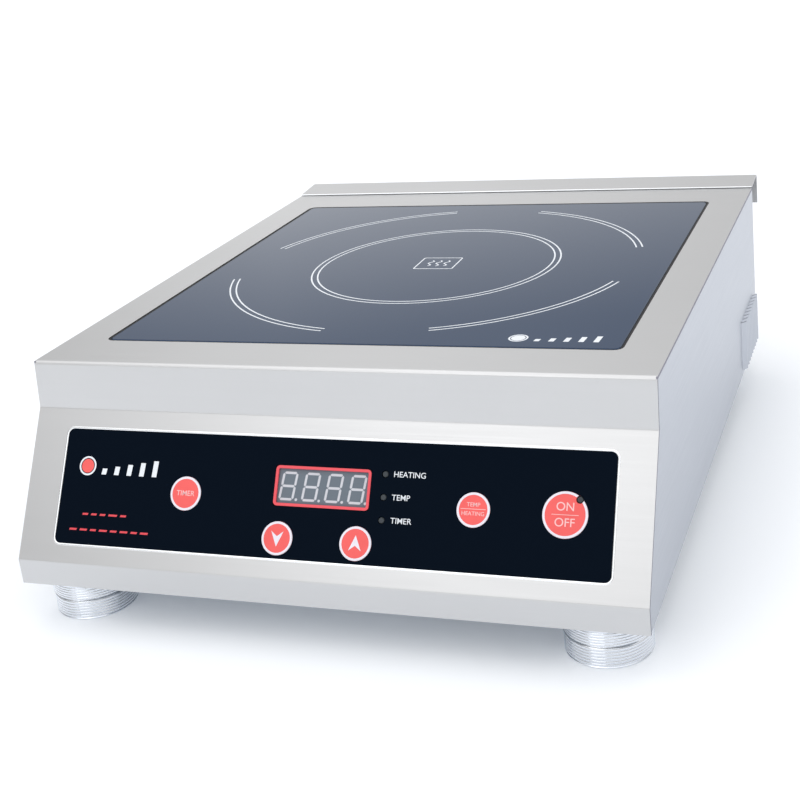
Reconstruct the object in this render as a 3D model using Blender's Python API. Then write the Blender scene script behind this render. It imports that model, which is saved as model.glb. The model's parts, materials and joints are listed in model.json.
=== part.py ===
"""Countertop induction hob: folded steel case, glass top, sloping controls, coil, fan and feet.

Metres, +Z up. X is the width and the controls face -Y. The origin is the middle of the
footprint, at the level that the feet stand on.
"""
import math

import bmesh
import bpy
from mathutils import Vector

MM = 0.001

# Case, from the outside
WIDTH = 330 * MM
FOOT_HEIGHT = 22 * MM
BODY_HEIGHT = 106.5 * MM
DECK_DEPTH = 350 * MM
BAND_HEIGHT = 25 * MM
BAND_LEAN = 2.5 * MM
SLOPE_RUN = 42 * MM
SLOPE_DROP = 68 * MM
CANOPY_REACH = 24 * MM
CANOPY_LAP = 3 * MM
CANOPY_RISE = 2 * MM
CANOPY_DROP = 18 * MM
SHEET = 1 * MM
GAP = 0.3 * MM
SHARPEST_CORNER = 0.5 * MM

DEPTH = BAND_LEAN + SLOPE_RUN + DECK_DEPTH + CANOPY_REACH
FRONT = -DEPTH / 2
DECK_FRONT = FRONT + SLOPE_RUN + BAND_LEAN
REAR_WALL = DECK_FRONT + DECK_DEPTH
REAR = DEPTH / 2
BASE = FOOT_HEIGHT
TOP = FOOT_HEIGHT + BODY_HEIGHT
SIDE_OUTER = WIDTH / 2 - GAP
SIDE_INNER = SIDE_OUTER - SHEET
INNER_HALF_WIDTH = SIDE_INNER - GAP
UNDER_DECK = TOP - SHEET - GAP
ON_TRAY = BASE + SHEET + GAP
LOUVRE_COUNT = 9
LOUVRE_PITCH = 7 * MM
LOUVRE_LENGTH = 5 * MM
LOUVRE_REAR_MARGIN = 12 * MM
LOUVRE_HEIGHTS = (BASE + 3 * MM, BASE + 35 * MM)
LOUVRE_OUT = 2.8 * MM
FLANGE_WIDTH = 10 * MM
FLANGE_HEIGHT = 12 * MM

# Glass, flush with the deck
GLASS_HALF_X = 140.4 * MM
GLASS_HALF_Y = 138 * MM
GLASS_THICKNESS = 4 * MM
GLASS_CORNER = 3 * MM
SEAL_WIDTH = 1.2 * MM
OPENING_MARGIN = SEAL_WIDTH + 2 * GAP
GLASS_CENTRE = Vector((0, DECK_FRONT + 173 * MM))
GLASS_BOTTOM = TOP - GLASS_THICKNESS
LEDGE_REACH = 12 * MM
SEAL_REACH = 8 * MM
SEAL_BED = 1.1 * MM

# Control face. Its own frame has x to the right, y up the slope and z outwards,
# with the origin on the upper crease.
PANEL_ANGLE = math.atan2(SLOPE_DROP, SLOPE_RUN)
PANEL_ORIGIN = Vector((0, DECK_FRONT - BAND_LEAN, TOP - BAND_HEIGHT))
WINDOW_CENTRE = Vector((1.0, -40.2)) * MM
WINDOW_HALF = Vector((146.3, 30)) * MM
WINDOW_CORNER = 3.5 * MM
WINDOW_CHAMFER = 0.8 * MM
OVERLAY_FRONT = -0.4 * MM
OVERLAY_BACK = -1.5 * MM
CARRIER_FRONT = OVERLAY_BACK - GAP
CARRIER_BACK = -3.8 * MM
CARRIER_HALF = Vector((150.3, 34)) * MM
BOARD_FRONT = -12 * MM
BOARD_BACK = -13.6 * MM
BOARD_HALF = Vector((138, 26)) * MM
BUTTON_FRONT = -0.2 * MM
BUTTON_FLANGE = 0.8 * MM
BUTTON_FLANGE_BACK = -3.0 * MM
BUTTON_STEM_RADIUS = 2 * MM
BUTTON_TRAVEL = 0.5 * MM
SWITCH_SIZE = 6 * MM
SWITCH_FRONT = -8.3 * MM
BUTTONS = {
    "timer": (-72.5, -40.9, 8.5),
    "down": (-19.6, -60.0, 8.2),
    "up": (21.8, -60.0, 8.2),
    "temp_heating": (79.6, -40.7, 8.2),
    "on_off": (123.8, -40.5, 10.8),
}
LAMPS = {
    "heating": (34.0, -26.1),
    "temp": (34.0, -37.2),
    "timer": (34.0, -48.2),
    "power": (130.4, -33.2),
}
LAMP_RADIUS = 1.5 * MM
DISPLAY_CENTRE = Vector((1.5, -34.2)) * MM
DISPLAY_HALF = Vector((25.3, 9.9)) * MM
DISPLAY_BORDER = 1.4 * MM
DISPLAY_FACE = -1.6 * MM

# Induction unit, centred under the printed ring
COIL_CENTRE = Vector((0, DECK_FRONT + 174.3 * MM))
COIL_OUTER = 108 * MM
COIL_INNER = 24 * MM
COIL_HEIGHT = 6 * MM
COIL_TOP = GLASS_BOTTOM - 1.7 * MM
INSULATION_RADIUS = 112 * MM
INSULATION_THICKNESS = 1 * MM
CARRIER_PLATE = 3 * MM
CARRIER_HOLE = 11 * MM
FERRITE_COUNT = 4
FERRITE_SIZE = Vector((62, 12, 5)) * MM
FERRITE_MIDDLE = 66 * MM
BRACKET_HALF_X = 135 * MM
BRACKET_HALF_Y = 30 * MM
BRACKET_SHEET = 2 * MM
SENSOR_RADIUS = 6 * MM

# Cooling and power
FAN_CENTRE = Vector((-75, 85)) * MM
FAN_HALF = 46 * MM
FAN_BORE = 43.5 * MM
FAN_HEIGHT = 25 * MM
FAN_BOTTOM = ON_TRAY + 2 * MM
FAN_HUB = 19 * MM
FAN_TIP = 42 * MM
FAN_BLADES = 7
BLADE_PHASE = 0.1
SPIDER_HEIGHT = 3 * MM
POWER_BOARD_LOW = Vector((-15 * MM, -120 * MM, BASE + 10 * MM))
POWER_BOARD_HIGH = Vector((140 * MM, 45 * MM, BASE + 11.6 * MM))
HEATSINK_LOW = Vector((20 * MM, 66 * MM, ON_TRAY + 1 * MM))
HEATSINK_HIGH = Vector((130 * MM, 146 * MM, BASE + 38 * MM))
PACKAGE_HEIGHTS = (BASE + 14 * MM, BASE + 36 * MM)
PACKAGE_WIDTH = 20 * MM
PACKAGE_THICKNESS = 5 * MM
HEATSINK_FINS = 12
HEATSINK_BASE = 6 * MM
FIN_THICKNESS = 2 * MM
GLAND_PLACE = Vector((118 * MM, BASE + 28 * MM))
GLAND_HOLE = 8.4 * MM

# Feet
FOOT_RADIUS = 21.4 * MM
COLLAR_RADIUS = 21.7 * MM
COLLAR_BOTTOM = 11 * MM
FOOT_STUD_RADIUS = 4 * MM
FOOT_STUD_TOP = BASE + 16 * MM
STUD_CLEARANCE = 0.5 * MM
FOOT_X = {"front": 139.5 * MM, "rear": 134 * MM}
FOOT_Y = {"front": -184 * MM, "rear": 149 * MM}
SCREW_X = 156 * MM
SCREW_Y = {"front": -120 * MM, "rear": 110 * MM}

# Colour, roughness and metallic value of each material
FINISHES = {
    "brushed_steel": ((0.62, 0.62, 0.63), 0.34, 1.0),
    "galvanised_steel": ((0.52, 0.54, 0.56), 0.45, 1.0),
    "black_glass": ((0.012, 0.014, 0.018), 0.05, 0.0),
    "black_silicone": ((0.02, 0.02, 0.022), 0.6, 0.0),
    "overlay_black": ((0.006, 0.009, 0.014), 0.22, 0.0),
    "button_red": ((0.9, 0.13, 0.14), 0.35, 0.0),
    "bezel_red": ((0.8, 0.06, 0.08), 0.35, 0.0),
    "display_grey": ((0.13, 0.13, 0.15), 0.4, 0.0),
    "lamp_grey": ((0.05, 0.055, 0.06), 0.25, 0.0),
    "carrier_plastic": ((0.04, 0.04, 0.042), 0.5, 0.0),
    "circuit_board": ((0.02, 0.16, 0.06), 0.45, 0.0),
    "switch_black": ((0.03, 0.03, 0.03), 0.5, 0.0),
    "copper_winding": ((0.72, 0.3, 0.13), 0.35, 1.0),
    "ferrite": ((0.05, 0.05, 0.055), 0.6, 0.0),
    "insulation": ((0.72, 0.68, 0.55), 0.6, 0.0),
    "sensor_ceramic": ((0.85, 0.84, 0.8), 0.5, 0.0),
    "heatsink_aluminium": ((0.7, 0.71, 0.72), 0.4, 1.0),
    "capacitor_yellow": ((0.75, 0.55, 0.08), 0.4, 0.0),
    "fan_plastic": ((0.03, 0.03, 0.032), 0.45, 0.0),
    "gland_plastic": ((0.05, 0.05, 0.052), 0.5, 0.0),
    "foot_plastic": ((0.6, 0.62, 0.65), 0.4, 0.0),
    "screw_steel": ((0.6, 0.6, 0.6), 0.3, 1.0),
}

# ---------------------------------------------------------------- outlines


def circle(radius, count, centre=(0, 0)):
    """Points round a circle, anticlockwise."""
    turns = [2 * math.pi * i / count for i in range(count)]
    return [(centre[0] + radius * math.cos(a), centre[1] + radius * math.sin(a)) for a in turns]


def rounded_rectangle(half_x, half_y, radius, centre=(0, 0), steps=4):
    """Points round a rectangle with arcs at its corners, anticlockwise."""
    points = []
    for quarter, (sign_x, sign_y) in enumerate(((1, 1), (-1, 1), (-1, -1), (1, -1))):
        corner_x = centre[0] + sign_x * (half_x - radius)
        corner_y = centre[1] + sign_y * (half_y - radius)
        for i in range(steps + 1):
            angle = (quarter + i / steps) * math.pi / 2
            points.append((corner_x + radius * math.cos(angle), corner_y + radius * math.sin(angle)))
    return points


def bend_path(corners, radius, steps=5):
    """An open path with every inner corner rounded by an arc of the given radius."""
    corners = [Vector(point) for point in corners]
    path = [corners[0]]
    for before, corner, after in zip(corners, corners[1:], corners[2:]):
        inward = (before - corner).normalized()
        outward = (after - corner).normalized()
        half_angle = inward.angle(outward) / 2
        centre = corner + (inward + outward).normalized() * radius / math.sin(half_angle)
        start = corner + inward * radius / math.tan(half_angle) - centre
        sweep = start.angle_signed(corner + outward * radius / math.tan(half_angle) - centre)
        for i in range(steps + 1):
            turn = -sweep * i / steps
            cos, sin = math.cos(turn), math.sin(turn)
            path.append(centre + Vector((start.x * cos - start.y * sin, start.x * sin + start.y * cos)))
    path.append(corners[-1])
    return path


def offset_path(path, distance):
    """The same open path, moved to its left by a distance, with mitred corners."""
    moved = []
    for i, point in enumerate(path):
        ahead = (path[min(i + 1, len(path) - 1)] - path[min(i, len(path) - 2)]).normalized()
        behind = (path[max(i, 1)] - path[max(i - 1, 0)]).normalized()
        middle = (ahead + behind).normalized()
        left = Vector((-middle.y, middle.x))
        moved.append(point + left * distance / max(middle.dot(ahead), 0.1))
    return moved


def sheet_outline(path, thickness=SHEET):
    """The closed section of a sheet bent along a path, which is its outer face."""
    return path + list(reversed(offset_path(path, thickness)))


# ---------------------------------------------------------------- solids


def prism(outline, low, high, axis="Z", low_outline=None):
    """Extrude a closed outline from low to high along an axis. low_outline tapers it."""
    place = {
        "X": lambda a, b, h: (h, a, b),
        "Y": lambda a, b, h: (a, h, b),
        "Z": lambda a, b, h: (a, b, h),
    }[axis]
    solid = bmesh.new()
    bottom = [solid.verts.new(place(a, b, low)) for a, b in low_outline or outline]
    top = [solid.verts.new(place(a, b, high)) for a, b in outline]
    solid.faces.new(bottom)
    solid.faces.new(top)
    for i in range(len(outline)):
        j = (i + 1) % len(outline)
        solid.faces.new((bottom[i], bottom[j], top[j], top[i]))
    return solid


def block(low, high):
    """A rectangular block between two corners."""
    outline = [(low[0], low[1]), (high[0], low[1]), (high[0], high[1]), (low[0], high[1])]
    return prism(outline, low[2], high[2])


def turned(profile, count, centre=(0, 0, 0), along="Z"):
    """Turn a profile of (radius, height) points about an axis. It closes on itself or on the axis."""
    solid = bmesh.new()
    rings = []
    for radius, height in profile:
        ring = [(radius * math.cos(a), radius * math.sin(a)) for a in
                (2 * math.pi * i / count for i in range(count if radius > 0 else 1))]
        points = [(x, y, height) if along == "Z" else (x, height, -y) for x, y in ring]
        rings.append([solid.verts.new(Vector(point) + Vector(centre)) for point in points])
    closed = profile[0][0] > 0
    for ring, following in zip(rings, rings[1:] + (rings[:1] if closed else [])):
        for i in range(count):
            j = (i + 1) % count
            corners = [ring[i % len(ring)], ring[j % len(ring)],
                       following[j % len(following)], following[i % len(following)]]
            solid.faces.new(list(dict.fromkeys(corners)))
    return solid


def framed(section, half_x, half_y, radius, centre):
    """Sweep a section of (distance outside the rectangle, height) points round a rectangle."""
    solid = bmesh.new()
    rings = []
    for distance, height in section:
        corner = max(radius + distance, SHARPEST_CORNER)
        outline = rounded_rectangle(half_x + distance, half_y + distance, corner, centre)
        rings.append([solid.verts.new((x, y, height)) for x, y in outline])
    for ring, following in zip(rings, rings[1:] + rings[:1]):
        for i in range(len(ring)):
            j = (i + 1) % len(ring)
            solid.faces.new((ring[i], ring[j], following[j], following[i]))
    return solid


def together(solids):
    """Several separate solids as one mesh, for a cutter."""
    joined = solids[0]
    for solid in solids[1:]:
        mesh = bpy.data.meshes.new("joining")
        solid.to_mesh(mesh)
        solid.free()
        joined.from_mesh(mesh)
        bpy.data.meshes.remove(mesh)
    return joined


# ---------------------------------------------------------------- objects


def material(finish):
    """The Principled material of a finish, made once."""
    if finish in bpy.data.materials:
        return bpy.data.materials[finish]
    colour, roughness, metallic = FINISHES[finish]
    made = bpy.data.materials.new(finish)
    made.use_nodes = True
    shader = made.node_tree.nodes["Principled BSDF"]
    shader.inputs["Base Color"].default_value = (*colour, 1)
    shader.inputs["Roughness"].default_value = roughness
    shader.inputs["Metallic"].default_value = metallic
    return made


def place(name, solid, finish=None, parent=None, smooth=False):
    """Turn a solid into a named object. A piece with no finish is a cutter or a tool."""
    bmesh.ops.recalc_face_normals(solid, faces=solid.faces)
    mesh = bpy.data.meshes.new(name)
    solid.to_mesh(mesh)
    solid.free()
    if smooth:
        mesh.shade_smooth()
        mesh.set_sharp_from_angle(angle=math.radians(35))
    piece = bpy.data.objects.new(name, mesh)
    bpy.context.scene.collection.objects.link(piece)
    piece.parent = parent
    if finish:
        mesh.materials.append(material(finish))
    else:
        piece.hide_render = True
        piece.display_type = "WIRE"
    return piece


def change(piece, operation, solid):
    """Cut a solid from a piece, or unite the two, with a Boolean modifier."""
    number = len(piece.modifiers) + 1
    tool = place(f"{operation.lower()}_{piece.name}_{number}", solid, parent=piece.parent)
    modifier = piece.modifiers.new(tool.name, "BOOLEAN")
    modifier.operation = operation
    modifier.solver = "EXACT"
    modifier.object = tool


def cut(piece, *solids):
    for solid in solids:
        change(piece, "DIFFERENCE", solid)


def unite(piece, *solids):
    for solid in solids:
        change(piece, "UNION", solid)


# ---------------------------------------------------------------- case


def case_corners():
    """Corners of the top cover's outer face, from the rear of the deck to its lower front edge."""
    return [
        (REAR_WALL, TOP),
        (DECK_FRONT, TOP),
        (DECK_FRONT - BAND_LEAN, TOP - BAND_HEIGHT),
        (FRONT, TOP - BAND_HEIGHT - SLOPE_DROP),
        (FRONT, BASE),
    ]


def slots(count, pitch, middle, size, along, low, high, axis):
    """A row of slots with broken corners, as one cutter. along is 0 or 1: the outline axis of the row."""
    row = []
    for i in range(count):
        centre = list(middle)
        centre[along] += (i - (count - 1) / 2) * pitch
        outline = rounded_rectangle(size[0] / 2, size[1] / 2, min(size) / 3, centre, 1)
        row.append(prism(outline, low, high, axis))
    return together(row)


def make_top_cover(panel):
    path = bend_path(case_corners(), 2 * MM)
    cover = place("top_cover", prism(sheet_outline(path), -WIDTH / 2, WIDTH / 2, "X"), "brushed_steel")
    opening = rounded_rectangle(GLASS_HALF_X + OPENING_MARGIN, GLASS_HALF_Y + OPENING_MARGIN,
                                GLASS_CORNER + OPENING_MARGIN, GLASS_CENTRE)
    cut(cover, prism(opening, TOP - 3 * SHEET, TOP + SHEET))
    edge = rounded_rectangle(*WINDOW_HALF, WINDOW_CORNER, WINDOW_CENTRE)
    spread = 2 * WINDOW_CHAMFER
    wide = rounded_rectangle(WINDOW_HALF.x + spread, WINDOW_HALF.y + spread, WINDOW_CORNER + spread,
                             WINDOW_CENTRE)
    chamfer = prism(wide, -WINDOW_CHAMFER, spread - WINDOW_CHAMFER, low_outline=edge)
    through = prism(edge, -3 * SHEET, SHEET)
    for solid in (chamfer, through):
        solid.transform(panel.matrix_basis)
    cut(cover, chamfer, through)


def make_side_panels():
    path = offset_path(bend_path(case_corners(), 2 * MM), SHEET + GAP)
    outline = path + [Vector((REAR_WALL, BASE))]
    for side, sign in (("left", -1), ("right", 1)):
        faces = sorted((sign * SIDE_INNER, sign * SIDE_OUTER))
        panel = place(f"side_panel_{side}", prism(outline, *faces, "X"), "brushed_steel")
        flange = sorted((sign * (SIDE_INNER - FLANGE_WIDTH), sign * (SIDE_INNER + SHEET / 2)))
        unite(panel, block((flange[0], FRONT + 8 * MM, ON_TRAY),
                           (flange[1], REAR_WALL - 4 * MM, ON_TRAY + SHEET)))
        openings, hoods = louvres(sign)
        cut(panel, openings)
        unite(panel, hoods)
        screw_holes = [prism(circle(2.4 * MM, 12, (sign * SCREW_X, y)), BASE - SHEET, ON_TRAY + 2 * SHEET)
                       for y in SCREW_Y.values()]
        cut(panel, together(screw_holes))


def louvres(sign):
    """The slots of a side panel's louvres, and the hoods pressed out over them, open to the rear."""
    low, high = LOUVRE_HEIGHTS
    wall = sign * SIDE_OUTER
    reach = 3 * SHEET
    section = [(-SHEET / 2, 0), (0, 0), (LOUVRE_OUT, LOUVRE_LENGTH - SHEET), (LOUVRE_OUT, LOUVRE_LENGTH),
               (LOUVRE_OUT - SHEET, LOUVRE_LENGTH), (LOUVRE_OUT - SHEET, LOUVRE_LENGTH - SHEET / 2),
               (-SHEET / 2, SHEET)]
    openings, hoods = [], []
    for i in range(LOUVRE_COUNT):
        rear = REAR_WALL - LOUVRE_REAR_MARGIN - i * LOUVRE_PITCH
        front = rear - LOUVRE_LENGTH
        openings.append(block((wall - reach, front + SHEET, low + SHEET), (wall + reach, rear, high - SHEET)))
        hoods.append(prism([(wall + sign * out, front + back) for out, back in section], low, high))
    return together(openings), together(hoods)


def make_rear_canopy():
    height = TOP + SHEET
    corners = [(REAR_WALL - CANOPY_LAP, height), (REAR, height + CANOPY_RISE), (REAR, height - CANOPY_DROP)]
    path = [Vector((-y, z)) for y, z in bend_path([(-y, z) for y, z in corners], 2 * MM)]
    thickness = SHEET - GAP
    outline = path + [Vector((-p.x, p.y)) for p in
                      reversed(offset_path([Vector((-p.x, p.y)) for p in path], thickness))]
    place("rear_canopy", prism(outline, -WIDTH / 2, WIDTH / 2, "X"), "brushed_steel")


def make_rear_panel():
    panel = place("rear_panel", block((-INNER_HALF_WIDTH, REAR_WALL - SHEET, BASE),
                                      (INNER_HALF_WIDTH, REAR_WALL, UNDER_DECK)), "brushed_steel")
    cut(panel, slots(14, 8 * MM, (30 * MM, BASE + 66 * MM), (4 * MM, 34 * MM), 0,
                     REAR_WALL - 4 * SHEET, REAR_WALL + 4 * SHEET, "Y"))
    cut(panel, prism(circle(GLAND_HOLE + 0.2 * MM, 24, GLAND_PLACE),
                     REAR_WALL - 4 * SHEET, REAR_WALL + 4 * SHEET, "Y"))


def make_base_tray():
    front = FRONT + SHEET + GAP
    rear = REAR_WALL - SHEET - GAP
    path = bend_path([(front, BASE + FLANGE_HEIGHT), (front, BASE), (rear, BASE),
                      (rear, BASE + FLANGE_HEIGHT)], 2 * MM)
    tray = place("base_tray", prism(sheet_outline(path), -INNER_HALF_WIDTH, INNER_HALF_WIDTH, "X"),
                 "galvanised_steel")
    low, high = BASE - SHEET, BASE + 3 * SHEET
    cut(tray, slots(9, 8 * MM, FAN_CENTRE, (4 * MM, 74 * MM), 0, low, high, "Z"))
    cut(tray, slots(10, 8 * MM, (75 * MM, -150 * MM), (4 * MM, 30 * MM), 0, low, high, "Z"))
    holes = [prism(circle(FOOT_STUD_RADIUS + STUD_CLEARANCE, 16, (sign * FOOT_X[end], y)), low, high)
             for sign in (-1, 1) for end, y in FOOT_Y.items()]
    holes += [prism(circle(2.4 * MM, 12, (sign * SCREW_X, y)), low, high)
              for sign in (-1, 1) for y in SCREW_Y.values()]
    cut(tray, together(holes))
    inset = 8 * MM
    for x in (POWER_BOARD_LOW.x + inset, POWER_BOARD_HIGH.x - inset):
        for y in (POWER_BOARD_LOW.y + inset, POWER_BOARD_HIGH.y - inset):
            unite(tray, prism(circle(3 * MM, 12, (x, y)), BASE + SHEET / 2, POWER_BOARD_LOW.z - GAP))


def make_base_screws():
    """Pan-head screws from below, through the tray and the side panels' flanges."""
    profile = [(0, BASE - 2 * MM), (3 * MM, BASE - 2 * MM), (4 * MM, BASE - 1.2 * MM), (4 * MM, BASE - GAP),
               (2 * MM, BASE - GAP), (2 * MM, BASE + 7 * MM), (0, BASE + 8 * MM)]
    for end, y in SCREW_Y.items():
        for side, sign in (("left", -1), ("right", 1)):
            place(f"base_screw_{end}_{side}", turned(profile, 12, (sign * SCREW_X, y, 0)),
                  "screw_steel", smooth=True)


# ---------------------------------------------------------------- glass top


def make_glass_top():
    chamfer = 0.4 * MM
    body = rounded_rectangle(GLASS_HALF_X, GLASS_HALF_Y, GLASS_CORNER, GLASS_CENTRE)
    top = rounded_rectangle(GLASS_HALF_X - chamfer, GLASS_HALF_Y - chamfer, GLASS_CORNER - chamfer,
                            GLASS_CENTRE)
    glass = prism(body, GLASS_BOTTOM, TOP - chamfer)
    upper = next(face for face in glass.faces if all(v.co.z > GLASS_BOTTOM + chamfer for v in face.verts))
    raised = bmesh.ops.extrude_discrete_faces(glass, faces=[upper])["faces"][0]
    for vertex in raised.verts:
        nearest = min(top, key=lambda point: (Vector(point) - vertex.co.xy).length)
        vertex.co = (*nearest, TOP)
    place("glass_plate", glass, "black_glass")
    bed_top = GLASS_BOTTOM - GAP
    bed_bottom = bed_top - SEAL_BED
    seal = [(-SEAL_REACH, bed_bottom), (GAP + SEAL_WIDTH, bed_bottom), (GAP + SEAL_WIDTH, TOP - GAP),
            (GAP, TOP - GAP), (GAP, bed_top), (-SEAL_REACH, bed_top)]
    seal_ring = framed(seal, GLASS_HALF_X, GLASS_HALF_Y, GLASS_CORNER, GLASS_CENTRE)
    place("glass_seal", seal_ring, "black_silicone")
    ledge = bed_bottom - GAP
    web = OPENING_MARGIN
    frame = [(-LEDGE_REACH, ledge - SHEET), (web + SHEET, ledge - SHEET), (web + SHEET, UNDER_DECK - SHEET),
             (web + 8 * MM, UNDER_DECK - SHEET), (web + 8 * MM, UNDER_DECK), (web, UNDER_DECK),
             (web, ledge), (-LEDGE_REACH, ledge)]
    frame_ring = framed(frame, GLASS_HALF_X, GLASS_HALF_Y, GLASS_CORNER, GLASS_CENTRE)
    place("glass_frame", frame_ring, "galvanised_steel")


# ---------------------------------------------------------------- control panel


def make_panel_frame():
    """An empty on the upper crease, whose z axis points out of the control face."""
    frame = bpy.data.objects.new("control_face", None)
    bpy.context.scene.collection.objects.link(frame)
    frame.location = PANEL_ORIGIN
    frame.rotation_euler.x = PANEL_ANGLE
    return frame


def button_discs(margin, low, high, count=24):
    return together([prism(circle((radius + margin) * MM, count, (x * MM, y * MM)), low, high)
                     for x, y, radius in BUTTONS.values()])


def lamp_discs(radius, low, high):
    return together([prism(circle(radius, 12, (x * MM, y * MM)), low, high) for x, y in LAMPS.values()])


def make_overlay(panel):
    outline = rounded_rectangle(WINDOW_HALF.x - GAP, WINDOW_HALF.y - GAP, WINDOW_CORNER, WINDOW_CENTRE)
    overlay = place("control_overlay", prism(outline, OVERLAY_BACK, OVERLAY_FRONT), "overlay_black", panel)
    through = (-3 * MM, 1 * MM)
    hole = rounded_rectangle(DISPLAY_HALF.x + GAP, DISPLAY_HALF.y + GAP, 1.5 * MM, DISPLAY_CENTRE)
    cut(overlay, button_discs(0.3, *through), lamp_discs(LAMP_RADIUS + GAP, *through), prism(hole, *through))


def make_carrier(panel):
    outline = rounded_rectangle(*CARRIER_HALF, 2 * MM, WINDOW_CENTRE)
    carrier = place("control_carrier", prism(outline, CARRIER_BACK, CARRIER_FRONT), "carrier_plastic", panel)
    through = (-6 * MM, 1 * MM)
    hole = rounded_rectangle(DISPLAY_HALF.x + 1 * MM, DISPLAY_HALF.y + 1 * MM, 1 * MM, DISPLAY_CENTRE)
    cut(carrier, button_discs(1.5, *through, count=16), lamp_discs(LAMP_RADIUS + 0.6 * MM, *through),
        prism(hole, *through))
    inset = 6 * MM
    for sign_x in (-1, 1):
        for sign_y in (-1, 1):
            centre = WINDOW_CENTRE + Vector((sign_x * (BOARD_HALF.x - inset), sign_y * (BOARD_HALF.y - inset / 2)))
            unite(carrier, prism(circle(2.5 * MM, 12, centre), BOARD_FRONT + GAP, CARRIER_BACK + SHEET))


def make_control_board(panel):
    outline = rounded_rectangle(*BOARD_HALF, 2 * MM, WINDOW_CENTRE)
    place("control_pcb", prism(outline, BOARD_BACK, BOARD_FRONT), "circuit_board", panel)
    module = rounded_rectangle(DISPLAY_HALF.x - 0.6 * MM, DISPLAY_HALF.y - 0.6 * MM, 0.5 * MM, DISPLAY_CENTRE)
    place("display_module", prism(module, BOARD_FRONT + GAP, DISPLAY_FACE), "display_grey", panel)
    inner = Vector((DISPLAY_HALF.x - DISPLAY_BORDER, DISPLAY_HALF.y - DISPLAY_BORDER))
    section = [(0, DISPLAY_FACE + GAP), (DISPLAY_BORDER, DISPLAY_FACE + GAP),
               (DISPLAY_BORDER, OVERLAY_FRONT), (0, OVERLAY_FRONT)]
    bezel = framed(section, *inner, 0.6 * MM, DISPLAY_CENTRE)
    place("display_bezel", bezel, "bezel_red", panel)


def make_buttons(panel):
    """Round caps that slide inwards. Each has a retaining flange and a stem above its switch."""
    stem_end = SWITCH_FRONT + BUTTON_TRAVEL + 0.2 * MM
    for name, (x, y, radius) in BUTTONS.items():
        centre = (x * MM, y * MM, 0)
        edge = radius * MM
        flange = edge + BUTTON_FLANGE
        profile = [(0, BUTTON_FRONT), (edge - 0.3 * MM, BUTTON_FRONT), (edge, BUTTON_FRONT - 0.3 * MM),
                   (edge, CARRIER_FRONT), (flange, CARRIER_FRONT), (flange, BUTTON_FLANGE_BACK),
                   (BUTTON_STEM_RADIUS, BUTTON_FLANGE_BACK), (BUTTON_STEM_RADIUS, stem_end), (0, stem_end)]
        cap = place(f"button_{name}", turned(profile, 24, centre), "button_red", panel, smooth=True)
        if name == "on_off":
            x_lamp, y_lamp = LAMPS["power"]
            notch = circle(LAMP_RADIUS + 0.4 * MM, 16, (x_lamp * MM, y_lamp * MM))
            cut(cap, prism(notch, -6 * MM, 1 * MM))
        half = SWITCH_SIZE / 2
        switch = rounded_rectangle(half, half, 0.6 * MM, centre, 1)
        place(f"switch_{name}", prism(switch, BOARD_FRONT + GAP, SWITCH_FRONT), "switch_black", panel)


def make_lamps(panel):
    """Indicator lamps that stand on the control board and end flush with the overlay."""
    dome = 0.3 * MM
    for name, (x, y) in LAMPS.items():
        profile = [(0, OVERLAY_FRONT), (LAMP_RADIUS - dome, OVERLAY_FRONT), (LAMP_RADIUS, OVERLAY_FRONT - dome),
                   (LAMP_RADIUS, BOARD_FRONT + GAP), (0, BOARD_FRONT + GAP)]
        place(f"lamp_{name}", turned(profile, 12, (x * MM, y * MM, 0)), "lamp_grey", panel, smooth=True)


# ---------------------------------------------------------------- induction unit


def disc(outer, inner, low, high, count=32):
    profile = [(inner, low), (outer, low), (outer, high), (inner, high)]
    return turned(profile, count, (*COIL_CENTRE, 0))


def make_induction_unit():
    coil_bottom = COIL_TOP - COIL_HEIGHT
    plate_top = coil_bottom - GAP
    plate_bottom = plate_top - CARRIER_PLATE
    insulation_low = COIL_TOP + GAP
    place("induction_coil", disc(COIL_OUTER, COIL_INNER, coil_bottom, COIL_TOP), "copper_winding", smooth=True)
    place("coil_carrier", disc(INSULATION_RADIUS, CARRIER_HOLE, plate_bottom, plate_top),
          "carrier_plastic", smooth=True)
    place("insulation_sheet", disc(INSULATION_RADIUS, SENSOR_RADIUS + 1 * MM, insulation_low,
                                   insulation_low + INSULATION_THICKNESS), "insulation", smooth=True)
    for i in range(FERRITE_COUNT):
        bar = block((FERRITE_MIDDLE - FERRITE_SIZE.x / 2, -FERRITE_SIZE.y / 2, -FERRITE_SIZE.z),
                    (FERRITE_MIDDLE + FERRITE_SIZE.x / 2, FERRITE_SIZE.y / 2, 0))
        ferrite = place(f"ferrite_bar_{i + 1}", bar, "ferrite")
        ferrite.location = (*COIL_CENTRE, plate_bottom - GAP)
        ferrite.rotation_euler.z = (i + 0.5) * 2 * math.pi / FERRITE_COUNT
    seat = plate_top + GAP
    sensor_top = GLASS_BOTTOM - GAP
    profile = [(0, plate_bottom), (SENSOR_RADIUS, plate_bottom), (SENSOR_RADIUS, seat), (14 * MM, seat),
               (14 * MM, seat + 1.2 * MM), (SENSOR_RADIUS, seat + 1.2 * MM), (SENSOR_RADIUS, sensor_top),
               (0, sensor_top)]
    place("temperature_sensor", turned(profile, 16, (*COIL_CENTRE, 0)), "sensor_ceramic", smooth=True)
    ledge_bottom = GLASS_BOTTOM - GAP - SEAL_BED - GAP - SHEET
    top = ledge_bottom - GAP
    bottom = plate_bottom - FERRITE_SIZE.z - 2 * GAP - BRACKET_SHEET
    corners = [(-BRACKET_HALF_X, top), (-BRACKET_HALF_X, bottom), (BRACKET_HALF_X, bottom),
               (BRACKET_HALF_X, top)]
    strap = sheet_outline(bend_path(corners, 3 * MM), BRACKET_SHEET)
    place("coil_bracket", prism(strap, COIL_CENTRE.y - BRACKET_HALF_Y, COIL_CENTRE.y + BRACKET_HALF_Y, "Y"),
          "galvanised_steel")


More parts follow.
